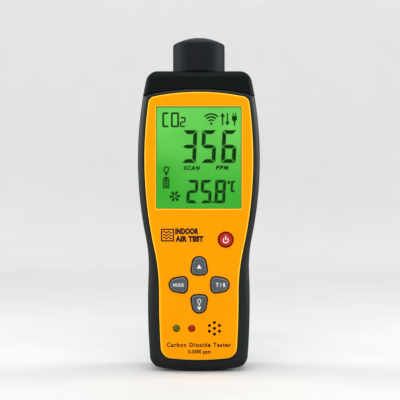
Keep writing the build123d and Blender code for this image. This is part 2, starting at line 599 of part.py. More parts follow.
for number, x in enumerate(CELL_XS, 1):
    nub_up = number % 2 == 1
    cell_low = PLATES_HIGH - CELL_NUB - CELL_L if nub_up else PLATES_LOW + CELL_NUB
    nub_low = PLATES_HIGH - CELL_NUB if nub_up else PLATES_LOW
    with BuildPart() as cell:
        post(x, CELL_DEPTH, CELL_R, cell_low, cell_low + CELL_L)
        fillet(cell.edges().filter_by(GeomType.CIRCLE), 0.5)
        post(x, CELL_DEPTH, CELL_NUB_R, nub_low, nub_low + CELL_NUB)
    save(f"battery_cell_{number}", cell.part)

with BuildPart() as battery_plates:
    for height, xs in (
        (CELLS_LOW + PLATE_T / 2, (-CELL_PITCH, CELL_PITCH / 2)),
        (CELLS_HIGH - PLATE_T / 2, (-CELL_PITCH / 2, CELL_PITCH)),
    ):
        for x in xs:
            wide = PLATE_W if abs(x) == CELL_PITCH else PLATE_W + CELL_PITCH  # one cell, or a pair
            block(x, height, wide, PLATE_T, CELL_DEPTH - PLATE_W / 2, CELL_DEPTH + PLATE_W / 2)
save("battery_plates", battery_plates.part)

with BuildPart() as battery_springs:  # a tapering stack of rings for each coiled contact
    for x, foot, way in (
        (-CELL_PITCH, PLATES_LOW, 1),
        (0, PLATES_HIGH, -1),
        (CELL_PITCH, PLATES_LOW, 1),
    ):
        for turn in range(SPRING_TURNS):
            height = foot + way * SPRING_WIRE_R * (1 + 2 * turn) - SOCKET_HEIGHT
            with Locations((x, -CELL_DEPTH, height)):
                Torus(SPRING_R - SPRING_TAPER * turn, SPRING_WIRE_R)
save("battery_springs", battery_springs.part)

with BuildPart() as battery_cover:
    slab(door_outline(), COVER_SINK, DOOR_T)
    block(0, CELLS_MID, 2 * CELLS_HALF - 0.8, CELLS_SPAN - 0.8, DOOR_T, BOX_RIM + 0.3)
    block(0, CELLS_MID, 2 * CELLS_HALF - 3.2, CELLS_SPAN - 3.2, DOOR_T, BOX_RIM + 1,
          mode=Mode.SUBTRACT)
    disc([(0, DOOR_SCREW_HEIGHT)], DOOR_BOSS_R, DOOR_T, DOOR_BOSS_END)
    disc([(0, DOOR_SCREW_HEIGHT)], SCREW_SINK_R, -1, DOOR_SCREW_SINK, Mode.SUBTRACT)
    disc([(0, DOOR_SCREW_HEIGHT)], SCREW_CLEAR_R, -1, DOOR_BOSS_END + 1, Mode.SUBTRACT)
    for row in range(GRIP_ROWS):  # finger grooves
        with BuildSketch(FRONT.offset(-1)) as groove:
            with Locations((0, DOOR_LOW + 6 + GRIP_PITCH * row)):
                SlotOverall(GRIP_L, GRIP_W)
        extrude(groove.sketch, amount=1 + COVER_SINK + GRIP_SINK, mode=Mode.SUBTRACT)
save("battery_cover", battery_cover.part)


# ---------------------------------------------------------------- fasteners and inserts
def pan_screw(x, height, head_low, head_high, tip):
    """A self-tapping screw driven towards the display, with a cross slot in its head."""
    disc([(x, height)], SCREW_HEAD_R, head_low, head_high)
    for width, tall in ((SLOT_L, SLOT_W), (SLOT_W, SLOT_L)):
        block(x, height, width, tall, head_low - 0.1, head_low + SLOT_SINK, mode=Mode.SUBTRACT)
    disc([(x, height)], SCREW_R, head_high, tip)


with BuildPart() as casing_screws:
    for x, height, boss_end in CASE_SCREWS:
        for side in (-x, x):
            pan_screw(side, height, SCREW_SINK - 2, SCREW_SINK, boss_end - 2)
save("casing_screws", casing_screws.part)

with BuildPart() as head_screws:
    for x, height in both_sides(*HEAD_SCREWS):
        pan_screw(x, height, HEAD_SCREW_SINK - 1.8, HEAD_SCREW_SINK, 12.5)
save("head_screws", head_screws.part)

with BuildPart() as battery_cover_screw:
    pan_screw(0, DOOR_SCREW_HEIGHT, DOOR_SCREW_SINK - 1.8, DOOR_SCREW_SINK, 12)
save("battery_cover_screw", battery_cover_screw.part)

with BuildPart() as tripod_insert:
    disc([(0, SOCKET_HEIGHT)], INSERT_R, 0, SOCKET_L)
    disc([(0, SOCKET_HEIGHT)], SOCKET_R, -1, SOCKET_L + 1, Mode.SUBTRACT)
save("tripod_insert", tripod_insert.part)

with BuildPart() as rating_label:
    block(0, LABEL_MID, LABEL_W, LABEL_H, COVER_SINK, LABEL_SINK, 1.5)
save("rating_label", rating_label.part)

# ---------------------------------------------------------------- fan
HUB = Plane(origin=(0, -FAN_BACK, FAN_HEIGHT - SOCKET_HEIGHT), x_dir=(1, 0, 0), z_dir=(0, -1, 0))

with BuildPart() as fan_frame:
    block(0, FAN_HEIGHT, FAN_SIDE, FAN_SIDE, FAN_BACK, FAN_BACK + FAN_T, 2)
    disc([(0, FAN_HEIGHT)], FAN_BORE_R, FAN_BACK - 1, FAN_BACK + FAN_T + 1, Mode.SUBTRACT)
    disc(FAN_CORNERS, FAN_PEG_R + 0.1, FAN_BACK - 1, FAN_BACK + FAN_T + 1, Mode.SUBTRACT)
    disc([(0, FAN_HEIGHT)], FAN_HUB_R, FAN_BACK, FAN_BACK + FAN_PLATE_T)
    with BuildSketch(HUB) as spokes:
        with PolarLocations((FAN_HUB_R + FAN_BORE_R) / 2, 3, start_angle=90):
            Rectangle(FAN_BORE_R - FAN_HUB_R + 1, 1.4)
    extrude(spokes.sketch, amount=FAN_PLATE_T)
    disc([(0, FAN_HEIGHT)], FAN_SHAFT_R + 0.05, FAN_BACK - 1, FAN_BACK + 4, Mode.SUBTRACT)
save("fan_frame", fan_frame.part)

with BuildPart() as fan_rotor:
    disc([(0, FAN_HEIGHT)], FAN_HUB_R, FAN_BACK + FAN_PLATE_T + 0.3, FAN_BACK + FAN_T - 0.3)
    disc([(0, FAN_HEIGHT)], FAN_SHAFT_R, FAN_BACK + 0.1, FAN_BACK + FAN_T - 1)
    for number in range(FAN_BLADES):  # each blade is a thin plate, tilted about its own radius
        turn = radians(360 * number / FAN_BLADES)
        out = Vector(cos(turn), 0, sin(turn))
        chord = Vector(-sin(turn) * cos(BLADE_TILT), -sin(BLADE_TILT), cos(turn) * cos(BLADE_TILT))
        root = Vector(0, -FAN_BACK - FAN_T / 2 - 0.3, FAN_HEIGHT - SOCKET_HEIGHT)
        with BuildSketch(Plane(root + out * (FAN_HUB_R - 0.8), x_dir=chord, z_dir=out)) as blade:
            Rectangle(4.6, 0.7)
        extrude(blade.sketch, amount=FAN_BLADE_TIP - FAN_HUB_R + 0.8)
save("fan_rotor", fan_rotor.part)

# ---------------------------------------------------------------- sensor, sleeve and cap
AXIS = Plane(origin=(0, -MID_DEPTH, -SOCKET_HEIGHT), x_dir=(1, 0, 0), z_dir=(0, -1, 0))


def turned(*points):
    """Revolves a profile of (radius, height) points about the sensor's axis."""
    with BuildSketch(AXIS) as profile:
        with BuildLine():
            Polyline(*points, close=True)
        make_face()
    revolve(profile.sketch, axis=Axis((0, -MID_DEPTH, 0), (0, 0, 1)))


def dome(low, high, radius, sphere_r):
    """A round bar from the height low, under a spherical top whose highest point is high."""
    rim = high - sphere_r + sqrt(sphere_r**2 - radius**2)
    with BuildSketch(AXIS) as profile:
        with BuildLine():
            Polyline((0, high), (0, low), (radius, low), (radius, rim))
            RadiusArc((radius, rim), (0, high), -sphere_r)
        make_face()
    return revolve(
        profile.sketch, axis=Axis((0, -MID_DEPTH, 0), (0, 0, 1)), mode=Mode.PRIVATE
    )


with BuildPart() as sensor_sleeve:
    turned(
        (SLEEVE_IN_R, SLEEVE_FOOT), (HEAD_FLANGE_R, SLEEVE_FOOT), (HEAD_FLANGE_R, HEAD_CEILING),
        (SLEEVE_R, HEAD_CEILING), (SLEEVE_R, RING_MID - 0.8), (RING_SEAT_R, RING_MID - 0.8),
        (RING_SEAT_R, RING_MID + 0.8), (SLEEVE_R, RING_MID + 0.8), (SLEEVE_R, SLEEVE_TOP),
        (SLEEVE_IN_R, SLEEVE_TOP),
    )
save("sensor_sleeve", sensor_sleeve.part)

with BuildPart() as cap_oring:
    with Locations((0, -MID_DEPTH, RING_MID - SOCKET_HEIGHT)):
        Torus(RING_SEAT_R + RING_WIRE_R, RING_WIRE_R - 0.02)
save("cap_oring", cap_oring.part)

with BuildPart() as sensor_cap:
    add(dome(CAP_FOOT, CAP_TOP, CAP_R, CAP_DOME_R))
    fillet(sensor_cap.edges().filter_by(lambda edge: edge.is_closed).sort_by(Axis.Z)[-1], CAP_ROUND)
    add(dome(CAP_FOOT - 1, CAP_TOP - CAP_WALL, CAP_R - CAP_WALL, CAP_DOME_R - CAP_WALL),
        mode=Mode.SUBTRACT)
    post(0, MID_DEPTH, CAP_HOLE_R, CAP_TOP - 5, CAP_TOP + 1, Mode.SUBTRACT)
save("sensor_cap", sensor_cap.part)

with BuildPart() as sensor_grille:
    add(dome(SLEEVE_TOP, GRILLE_TOP, SLEEVE_R, CAP_DOME_R - CAP_WALL))
    add(dome(SLEEVE_TOP - 1, GRILLE_TOP - GRILLE_WALL, SLEEVE_R - GRILLE_WALL,
             CAP_DOME_R - CAP_WALL - GRILLE_WALL), mode=Mode.SUBTRACT)
    for ring in (1, 2, 3):
        with BuildSketch(UP.offset(SLEEVE_TOP)) as holes:
            with Locations((0, -MID_DEPTH)):
                with PolarLocations(ring * GRILLE_PITCH, 6 * ring):
                    Circle(GRILLE_HOLE_R)
        extrude(holes.sketch, amount=GRILLE_TOP - SLEEVE_TOP + 1, mode=Mode.SUBTRACT)
save("sensor_grille", sensor_grille.part)

with BuildPart() as filter_disc:
    post(0, MID_DEPTH, SLEEVE_IN_R - 0.1, SENSOR_TOP + 0.1, SENSOR_TOP + 1)
save("filter_disc", filter_disc.part)

with BuildPart() as co2_sensor:
    post(0, MID_DEPTH, SENSOR_R, SENSOR_FOOT, SENSOR_TOP)
    post(0, MID_DEPTH, SENSOR_PORT_R, SENSOR_TOP - 0.8, SENSOR_TOP + 1, Mode.SUBTRACT)
save("co2_sensor", co2_sensor.part)

with BuildPart() as sensor_board:
    post(0, MID_DEPTH, SENSOR_BOARD_R, SENSOR_FOOT - BOARD_T, SENSOR_FOOT)
save("sensor_board", sensor_board.part)

with BuildPart() as thermistor:
    post(11.0, MID_DEPTH, 0.7, SENSOR_FOOT, SENSOR_FOOT + 5)
save("thermistor", thermistor.part)

# ---------------------------------------------------------------- internal wires
plug_x, plug_height = SENSOR_PLUG
sensor_cable = lead(
    (plug_x, MID_DEPTH, SENSOR_FOOT - BOARD_T), (plug_x, MID_DEPTH, plug_height),
    (plug_x, PLUG_BACK, plug_height), radius=1.1, bends=1.5,
)
save("sensor_cable", sensor_cable)

plug_x, plug_height = FAN_PLUG
fan_top = FAN_HEIGHT + FAN_SIDE / 2 - 5.9
fan_cable = lead(
    (plug_x, FAN_BACK + FAN_T, fan_top), (plug_x, PLUG_BACK - 7, fan_top),
    (plug_x, PLUG_BACK - 7, plug_height), (plug_x, PLUG_BACK, plug_height), radius=0.8, bends=1.7,
)
save("fan_cable", fan_cable)

wires = [
    lead(
        (x, CELL_DEPTH + 4, CELLS_HIGH + BOX_WALL), (x, CELL_DEPTH + 4, CELLS_HIGH + 8),
        (x, BOARD_BACK, CELLS_HIGH + 8), radius=0.7, bends=3,
    )
    for x in (-CELL_PITCH, CELL_PITCH)
]
save("battery_leads", Compound(children=wires))
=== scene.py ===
"""Looks for the handheld carbon dioxide monitor: materials, printed marks, display art and studio.

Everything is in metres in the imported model's frame: +Z up, the display facing -Y.
"""

import json
import math

import bmesh
import bpy
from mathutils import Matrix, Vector


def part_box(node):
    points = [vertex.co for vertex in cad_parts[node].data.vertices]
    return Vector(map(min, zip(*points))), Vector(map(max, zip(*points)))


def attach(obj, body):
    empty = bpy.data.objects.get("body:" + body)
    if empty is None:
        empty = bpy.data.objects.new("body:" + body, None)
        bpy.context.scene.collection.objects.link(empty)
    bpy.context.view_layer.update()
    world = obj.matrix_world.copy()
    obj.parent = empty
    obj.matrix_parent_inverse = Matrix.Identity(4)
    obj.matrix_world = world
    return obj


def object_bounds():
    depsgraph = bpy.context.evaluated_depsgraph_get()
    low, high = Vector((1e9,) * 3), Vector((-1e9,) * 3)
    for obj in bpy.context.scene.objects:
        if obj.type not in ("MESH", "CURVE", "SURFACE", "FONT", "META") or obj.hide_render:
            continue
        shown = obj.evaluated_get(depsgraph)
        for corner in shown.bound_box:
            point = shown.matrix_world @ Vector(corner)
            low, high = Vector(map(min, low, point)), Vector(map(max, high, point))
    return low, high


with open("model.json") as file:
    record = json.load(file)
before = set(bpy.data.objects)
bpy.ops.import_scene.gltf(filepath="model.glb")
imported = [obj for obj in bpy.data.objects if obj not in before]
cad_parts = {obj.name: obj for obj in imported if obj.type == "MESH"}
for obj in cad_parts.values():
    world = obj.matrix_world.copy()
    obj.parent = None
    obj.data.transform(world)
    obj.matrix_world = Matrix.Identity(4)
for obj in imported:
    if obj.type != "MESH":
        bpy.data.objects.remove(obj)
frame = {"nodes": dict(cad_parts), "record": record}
cad_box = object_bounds()
NODES = frame["nodes"]
MM = 0.001


# ---------------------------------------------------------------- places, from the frame
def middle(node):
    low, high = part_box(node)
    return (low + high) / 2


def front(node):
    """The Y of a node's front face, which is its lowest Y."""
    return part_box(node)[0].y


WINDOW_MID = middle("display_window")
LCD_FRONT = front("lcd_glass")
PANEL_FRONT = front("front_panel")
PANEL_CROWN_R = 0.420
KEY_FRONT = front("up_key")
KEY_DISH = 0.2 * MM
LABEL_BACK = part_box("rating_label")[1].y


def panel_surface(x):
    """The Y of the panel's crowned face at x."""
    return PANEL_FRONT + PANEL_CROWN_R - math.sqrt(PANEL_CROWN_R**2 - x**2)


# ---------------------------------------------------------------- material building blocks
class Shader:
    """A node material with its Principled shader, and short ways to add textures to it."""

    def __init__(self, name):
        self.material = bpy.data.materials.new(name)
        self.material.use_nodes = True
        self.tree = self.material.node_tree
        self.shader = next(n for n in self.tree.nodes if n.type == "BSDF_PRINCIPLED")
        self.place = self.add("ShaderNodeTexCoord").outputs["Object"]

    def add(self, kind, inputs=None, **settings):
        node = self.tree.nodes.new(kind)
        for key, value in settings.items():
            setattr(node, key, value)
        for key, value in (inputs or {}).items():
            self.put(value, node.inputs[key])
        return node

    def put(self, value, socket):
        if isinstance(value, bpy.types.NodeSocket):
            self.tree.links.new(value, socket)
        else:
            socket.default_value = value

    def set(self, **values):
        for key, value in values.items():
            self.put(value, self.shader.inputs[key.replace("_", " ")])

    def noise(self, size_mm, detail=2.0, stretch=None):
        """A noise whose features are about size_mm across, optionally stretched along an axis."""
        place = self.place
        if stretch:
            place = self.add("ShaderNodeMapping", {"Vector": place, "Scale": stretch}).outputs[0]
        inputs = {"Vector": place, "Scale": 1 / (size_mm * MM), "Detail": detail}
        return self.add("ShaderNodeTexNoise", inputs).outputs["Fac"]

    def ramp(self, value, low, high, low_to=0.0, high_to=1.0):
        inputs = {
            "Value": value, "From Min": low, "From Max": high, "To Min": low_to, "To Max": high_to,
        }
        return self.add("ShaderNodeMapRange", inputs, interpolation_type="SMOOTHSTEP").outputs[0]

    def math(self, operation, *values):
        node = self.add("ShaderNodeMath", operation=operation)
        for value, socket in zip(values, node.inputs):
            self.put(value, socket)
        return node.outputs[0]

    def grey(self, value):
        """A grey from one brightness."""
        inputs = {"Red": value, "Green": value, "Blue": value}
        return self.add("ShaderNodeCombineColor", inputs).outputs[0]

    def mix(self, factor, a, b, blend="MIX"):
        node = self.add("ShaderNodeMix", data_type="RGBA", blend_type=blend)
        self.put(factor, node.inputs["Factor"])
        self.put(a, node.inputs["A"])
        self.put(b, node.inputs["B"])
        return node.outputs["Result"]

    def axis(self, letter):
        """One coordinate of the place, in metres."""
        parts = self.add("ShaderNodeSeparateXYZ", {"Vector": self.place})
        return parts.outputs[letter]

    def edges(self, radius_mm):
        """1 on edges and 0 on flats, from how far a rounded normal leans from the true one."""
        rounded = self.add("ShaderNodeBevel", {"Radius": radius_mm * MM}, samples=4).outputs[0]
        true = self.add("ShaderNodeNewGeometry").outputs["Normal"]
        dot = self.add("ShaderNodeVectorMath", operation="DOT_PRODUCT")
        self.put(rounded, dot.inputs[0])
        self.put(true, dot.inputs[1])
        return self.ramp(dot.outputs["Value"], 0.995, 0.90)

    def facing(self):
        """How far the surface faces the back: -1 straight forward, 1 straight back."""
        normal = self.add("ShaderNodeTexCoord").outputs["Normal"]
        return self.add("ShaderNodeSeparateXYZ", {"Vector": normal}).outputs["Y"]

    def turned(self):
        """0 where the surface faces straight forward or back, 1 from about 40 degrees off that."""
        return self.ramp(self.math("ABSOLUTE", self.facing()), 0.975, 0.76)

    def painted_gap_shade(self, reach_mm):
        """The mask for painted shade: 1 deep in gaps and holes narrower than about reach_mm, 0 in the
        open.
        """
        inputs = {"Distance": reach_mm * MM}
        open_air = self.add("ShaderNodeAmbientOcclusion", inputs, samples=8).outputs["AO"]
        return self.ramp(open_air, 0.66, 0.30)

    def bump(self, height, depth_mm, strength=1.0, soften_mm=0.0):
        inputs = {"Height": height, "Distance": depth_mm * MM, "Strength": strength}
        if soften_mm:
            bevel = self.add("ShaderNodeBevel", {"Radius": soften_mm * MM}, samples=4)
            inputs["Normal"] = bevel.outputs[0]
        self.set(Normal=self.add("ShaderNodeBump", inputs).outputs[0])


def tint(colour, by):
    return tuple(min(1.0, c * by) for c in colour[:3]) + (1.0,)


def plastic(name, colour, rough, grain_mm=0.45, grain_depth=0.012, edge_wear_and_highlight=1.3, drift=0.05, soften=0.2,
            shine=0.5, gap=None, rim_highlight=None, reach=2.0):
    """Moulded plastic: spark-eroded grain, slow colour drift, faint scuffs, edges paler by wear,
    partly from handling and partly as a painted highlight.

    shine is the specular level, gap the colour of painted shade down in gaps narrower than
    reach, in mm, and rim the colour of a painted highlight on the rounded borders that turn away
    from the front.
    """
    s = Shader(name)
    slow = s.ramp(s.noise(24, 3), 0.35, 0.65, 1 - drift, 1 + drift)
    # edges paler by the wear factor: partly handling marks, partly a painted highlight on rounded edges
    base = s.mix(s.edges(0.5), tint(colour, 1), tint(colour, edge_wear_and_highlight))
    shown = s.mix(1.0, base, s.grey(slow), "MULTIPLY")
    # painted highlight: borders turned from the front take the pale rim colour
    if rim_highlight:
        shown = s.mix(s.turned(), shown, tint(rim_highlight, 1))
    # painted shade: the insides of gaps and holes take the dark gap colour
    if gap:
        shown = s.mix(s.painted_gap_shade(reach), shown, tint(gap, 1))
    s.set(Base_Color=shown, Specular_IOR_Level=shine)
    scuffs = s.ramp(s.noise(1.6, 4, (1, 1, 0.12)), 0.55, 0.72, 0, 0.08)
    grain = s.noise(grain_mm, 2)
    s.set(Roughness=s.math("ADD", s.ramp(grain, 0.3, 0.7, rough - 0.04, rough + 0.05), scuffs))
    s.bump(grain, grain_depth, 0.8, soften)
    return s


def metal(name, colour, rough, brushed=(1, 1, 0.05)):
    """Plated or turned metal with fine tool lines."""
    s = Shader(name)
    lines = s.noise(0.25, 3, brushed)
    stain = s.ramp(s.noise(3, 3), 0.35, 0.7, 0.82, 1.08)
    s.set(
        Base_Color=s.mix(1.0, tint(colour, 1), s.grey(stain), "MULTIPLY"),
        Metallic=1.0,
        Roughness=s.ramp(lines, 0.3, 0.7, rough - 0.07, rough + 0.1),
    )
    s.bump(lines, 0.006, 0.6, 0.12)
    return s


def rubber(name, colour, rough=0.72):
    s = Shader(name)
    dust = s.ramp(s.noise(2.2, 4), 0.5, 0.75, 0, 0.35)
    s.set(
        Base_Color=s.mix(dust, tint(colour, 1), tint(colour, 2.2)),
        Roughness=s.ramp(s.noise(0.5), 0.3, 0.7, rough - 0.08, rough + 0.08),
    )
    s.bump(s.noise(0.3), 0.01, 0.8, 0.15)
    return s


def print_ink(name, colour, rough=0.5):
    """Screen-printed ink, slightly uneven in gloss and density."""
    s = Shader(name)
    density = s.ramp(s.noise(0.5, 3), 0.35, 0.7, 0, 0.22)
    s.set(
        Base_Color=s.mix(density, tint(colour, 1), tint(colour, 1.25)),
        Roughness=s.ramp(s.noise(0.2), 0.3, 0.7, rough - 0.05, rough + 0.08),
    )
    s.bump(s.noise(0.12), 0.003, 0.5)
    return s


def window_plastic(name):
    """Clear acrylic, with a faint smear in its gloss."""
    s = Shader(name)
    s.set(Base_Color=(0.97, 1.0, 0.97, 1), IOR=1.20, Transmission_Weight=1.0, Specular_IOR_Level=0.02)
    s.set(Roughness=s.ramp(s.noise(6, 3), 0.4, 0.8, 0.0, 0.05))
    return s


def lit_display(name):
    """The backlit display: a light green that deepens downwards, with the grain of its diffuser."""
    s = Shader(name)
    low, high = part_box("lcd_glass")
    rise = s.ramp(s.axis("Z"), low.z + 0.012, high.z - 0.004)
    wash = s.add("ShaderNodeMapping", {"Vector": s.place, "Rotation": (0, math.radians(28), 0)})
    patches = s.add("ShaderNodeTexNoise", {"Vector": wash.outputs[0], "Scale": 34.0, "Detail": 1.0})
    lift = s.math(
        "MULTIPLY_ADD", s.ramp(patches.outputs["Fac"], 0.3, 0.7), 0.36, s.math("SUBTRACT", rise, 0.18)
    )
    green = s.mix(lift, (0.036, 0.405, 0.022, 1), (0.140, 0.620, 0.090, 1))
    cells = s.ramp(s.noise(0.22, 1), 0.3, 0.7, 0.96, 1.03)
    shown = s.mix(1.0, green, s.grey(cells), "MULTIPLY")
    front_only = s.math("LESS_THAN", s.facing(), -0.9)
    s.set(Base_Color=(0.01, 0.05, 0.01, 1), Emission_Color=shown, Emission_Strength=front_only)
    s.set(Roughness=0.35, Specular_IOR_Level=0.1)
    s.bump(s.noise(0.15), 0.002, 0.4)
    return s


def display_ink(name):
    """Switched-on display segments: the backlight shows through them a little, unevenly."""
    s = Shader(name)
    leak = s.ramp(s.noise(2.5, 2), 0.3, 0.7)
    s.set(
        Base_Color=(0.0004, 0.006, 0.0002, 1),
        Emission_Color=s.mix(leak, (0.0002, 0.018, 0.0, 1), (0.0006, 0.032, 0.0002, 1)),
        Emission_Strength=1.0,
        Roughness=0.6,
        Specular_IOR_Level=0.02,
    )
    return s


def lamp_epoxy(name, colour):
    """Tinted, diffused lamp resin, cloudy and uneven in tone."""
    s = Shader(name)
    cloud = s.ramp(s.noise(1.4, 2), 0.3, 0.7)
    s.set(
        Base_Color=s.mix(cloud, tint(colour, 0.8), tint(colour, 1.3)),
        Subsurface_Weight=0.25,
        Subsurface_Radius=(0.6 * MM, 0.6 * MM, 0.6 * MM),
        Roughness=0.22,
        Coat_Weight=0.3,
    )
    s.bump(s.noise(0.6), 0.003, 0.5, 0.2)
    return s


def circuit_board(name):
    """Green solder mask over copper traces."""
    s = Shader(name)
    brick = s.add(
        "ShaderNodeTexBrick",
        {
            "Vector": s.add("ShaderNodeMapping", {
                "Vector": s.place, "Rotation": (math.radians(90), 0, 0),
            }).outputs[0],
            "Scale": 260.0, "Mortar Size": 0.035, "Brick Width": 1.4, "Row Height": 0.35,
        },
    )
    trace = brick.outputs["Fac"]
    mask = s.mix(s.ramp(s.noise(5, 3), 0.3, 0.7), (0.006, 0.075, 0.025, 1), (0.012, 0.11, 0.04, 1))
    s.set(Base_Color=s.mix(trace, mask, (0.03, 0.20, 0.07, 1)), Roughness=0.35, Coat_Weight=0.3)
    s.bump(trace, 0.03, 0.6)
    return s


def cell_sleeve(name):
    """A battery's printed sleeve: a dark body with a pale band and steel ends."""
    s = Shader(name)
    height = s.axis("Z")
    low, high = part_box("battery_cell_1")
    band = s.ramp(height, high.z - 0.014, high.z - 0.0135)
    ends = s.math("ADD", s.ramp(height, low.z + 0.0008, low.z + 0.0005),
                  s.ramp(height, high.z - 0.0020, high.z - 0.0017))
    body = s.mix(band, (0.012, 0.018, 0.05, 1), (0.55, 0.36, 0.10, 1))
    s.set(
        Base_Color=s.mix(ends, body, (0.62, 0.62, 0.62, 1)),
        Metallic=ends,
        Roughness=s.ramp(s.noise(2), 0.3, 0.7, 0.22, 0.34),
    )
    s.bump(s.noise(1.5, 1), 0.01, 0.3)
    return s


def membrane(name):
    s = Shader(name)
    pores = s.add("ShaderNodeTexVoronoi", {"Vector": s.place, "Scale": 1800.0}).outputs["Distance"]
    s.set(
        Base_Color=s.mix(s.ramp(pores, 0, 0.5), (0.55, 0.55, 0.52, 1), (0.80, 0.80, 0.77, 1)),
        Roughness=0.9,
    )
    s.bump(pores, 0.05, 0.8)
    return s


def film_label(name):
    s = Shader(name)
    sheen = s.ramp(s.noise(0.4, 2, (0.05, 1, 1)), 0.3, 0.7)
    s.set(
        Base_Color=s.mix(sheen, (0.50, 0.51, 0.52, 1), (0.60, 0.61, 0.62, 1)),
        Metallic=0.35,
        Roughness=s.ramp(sheen, 0, 1, 0.38, 0.48),
    )
    s.bump(sheen, 0.003, 0.4)
    return s


MATERIALS = {
    # panel: dark brown painted shade in the gaps round keys, holes and window, bright yellow painted
    # highlight on its rounded borders
    "panel_orange": lambda n: plastic(
        n, (1.0, 0.332, 0.0), 0.45, 0.40, 0.006, 1.0, 0.015, 0.25, shine=0.03,
        gap=(0.012, 0.002, 0.0), rim_highlight=(1.0, 0.58, 0.045),
    ),
    # casing: painted shade in its gaps and grooves
    "casing_slate": lambda n: plastic(
        n, (0.0150, 0.0178, 0.0182), 0.50, 0.50, 0.02, 1.5, 0.06, shine=0.32, gap=(0.006, 0.002, 0.001)
    ),
    # head: painted shade in its gaps
    "head_black": lambda n: plastic(
        n, (0.0045, 0.0062, 0.0072), 0.55, 0.50, 0.015, 1.5, 0.06, shine=0.10, gap=(0.002, 0.001, 0.001)
    ),
    "cap_black": lambda n: plastic(
        n, (0.0060, 0.0083, 0.0108), 0.62, 0.45, 0.012, 1.4, 0.06, shine=0.23
    ),
    # grey keys: painted shade in the gaps round them, painted highlight on their rounded borders
    "key_grey": lambda n: plastic(
        n, (0.088, 0.104, 0.114), 0.45, 0.35, 0.008, 1.2, 0.04, shine=0.20,
        gap=(0.004, 0.001, 0.000), rim_highlight=(0.250, 0.275, 0.290), reach=1.1,
    ),
    # red key: painted shade in its gaps, painted highlight on its rounded borders
    "key_red": lambda n: plastic(
        n, (0.54, 0.019, 0.010), 0.35, 0.40, 0.005, 1.1, 0.03, shine=0.15,
        gap=(0.06, 0.002, 0.002), rim_highlight=(0.62, 0.016, 0.010), reach=0.7,
    ),
    "clear_window": window_plastic,
    "lcd_green": lit_display,
    # the gasket shows as a thin dark line round the display: its dark olive colour is partly the
    # rubber's own and partly painted shade for the shaded edge of the window's recess
    "gasket_black": lambda n: rubber(n, (0.035, 0.040, 0.006), 0.85),
    "holder_white": lambda n: plastic(n, (0.72, 0.72, 0.69), 0.5),
    "light_guide": lambda n: plastic(n, (0.62, 0.74, 0.58), 0.15, 0.6, 0.004, 1.05),
    "board_green": circuit_board,
    "chip_black": lambda n: plastic(n, (0.018, 0.018, 0.019), 0.55, 0.15, 0.01),
    "connector_white": lambda n: plastic(n, (0.74, 0.71, 0.62), 0.42),
    "steel": lambda n: metal(n, (0.56, 0.56, 0.57), 0.32),
    "screw_black": lambda n: metal(n, (0.05, 0.05, 0.055), 0.42, (1, 1, 1)),
    "brass": lambda n: metal(n, (0.72, 0.50, 0.20), 0.30, (1, 0.05, 1)),
    "lamp_green": lambda n: lamp_epoxy(n, (0.100, 0.128, 0.003)),
    "lamp_red": lambda n: lamp_epoxy(n, (0.400, 0.016, 0.001)),
    "cell_wrap": cell_sleeve,
    "black_plastic": lambda n: plastic(n, (0.020, 0.020, 0.022), 0.5),
    "ring_rubber": lambda n: rubber(n, (0.012, 0.012, 0.013)),
    "filter_white": membrane,
    "sensor_gold": lambda n: metal(n, (0.75, 0.58, 0.28), 0.28),
    "label_silver": film_label,
    "wire_red": lambda n: rubber(n, (0.42, 0.012, 0.012), 0.5),
    "wire_black": lambda n: rubber(n, (0.015, 0.015, 0.016), 0.5),
}

made_materials = {slot: make(slot).material for slot, make in MATERIALS.items()}
for row in frame["record"]["subparts"]:
    node = NODES[row["node"]]
    node.data.materials.clear()
    node.data.materials.append(made_materials[row["material_slot"]])

INK_DARK = print_ink("ink_dark", (0.030, 0.004, 0.0)).material
INK_WHITE = print_ink("ink_white", (0.80, 0.82, 0.83), 0.4).material
INK_LABEL = print_ink("ink_label", (0.02, 0.02, 0.022)).material
SEGMENTS = display_ink("display_segments").material


# ---------------------------------------------------------------- flat shapes, x across and z up
def arc_points(mid, radius, start, end, count=24):
    """Points round an arc, from and to angles in degrees, anticlockwise from +X."""
    turns = (math.radians(start + (end - start) * i / count) for i in range(count + 1))
    return [(mid[0] + radius * math.cos(t), mid[1] + radius * math.sin(t)) for t in turns]


def disc_shape(mid, radius):
    return arc_points(mid, radius, 0, 360 - 360 / 32, 31)


def ring_shape(mid, radius, stroke, start=0.0, end=360.0):
    """A ring or part of one, as one closed strip of quads."""
    outer = arc_points(mid, radius + stroke / 2, start, end, 36)
    inner = arc_points(mid, radius - stroke / 2, start, end, 36)
    return [
        [outer[i], outer[i + 1], inner[i + 1], inner[i]] for i in range(len(outer) - 1)
    ]


def bar(x, z, width, tall):
    """A rectangle about (x, z)."""
    return [
        (x - width / 2, z - tall / 2), (x + width / 2, z - tall / 2),
        (x + width / 2, z + tall / 2), (x - width / 2, z + tall / 2),
    ]


def line_shape(start, end, stroke):
    """A straight stroke between two points."""
    way = Vector(end) - Vector(start)
    side = Vector((-way.y, way.x)).normalized() * stroke / 2
    return [
        tuple(Vector(start) - side), tuple(Vector(end) - side),
        tuple(Vector(end) + side), tuple(Vector(start) + side),
    ]


def outline_box(x, z, width, tall, stroke):
    """A rectangular outline as four bars that don't overlap."""
    return [
        bar(x, z + tall / 2 - stroke / 2, width, stroke),
        bar(x, z - tall / 2 + stroke / 2, width, stroke),
        bar(x - width / 2 + stroke / 2, z, stroke, tall - 2 * stroke),
        bar(x + width / 2 - stroke / 2, z, stroke, tall - 2 * stroke),
    ]


LIT = {  # segments: a top, b upper right, c lower right, d bottom, e lower left, f upper left
    "2": "abged", "3": "abgcd", "5": "afgcd", "6": "afgedc", "8": "abcdefg",
    "C": "afed", "O": "abcdef",
}


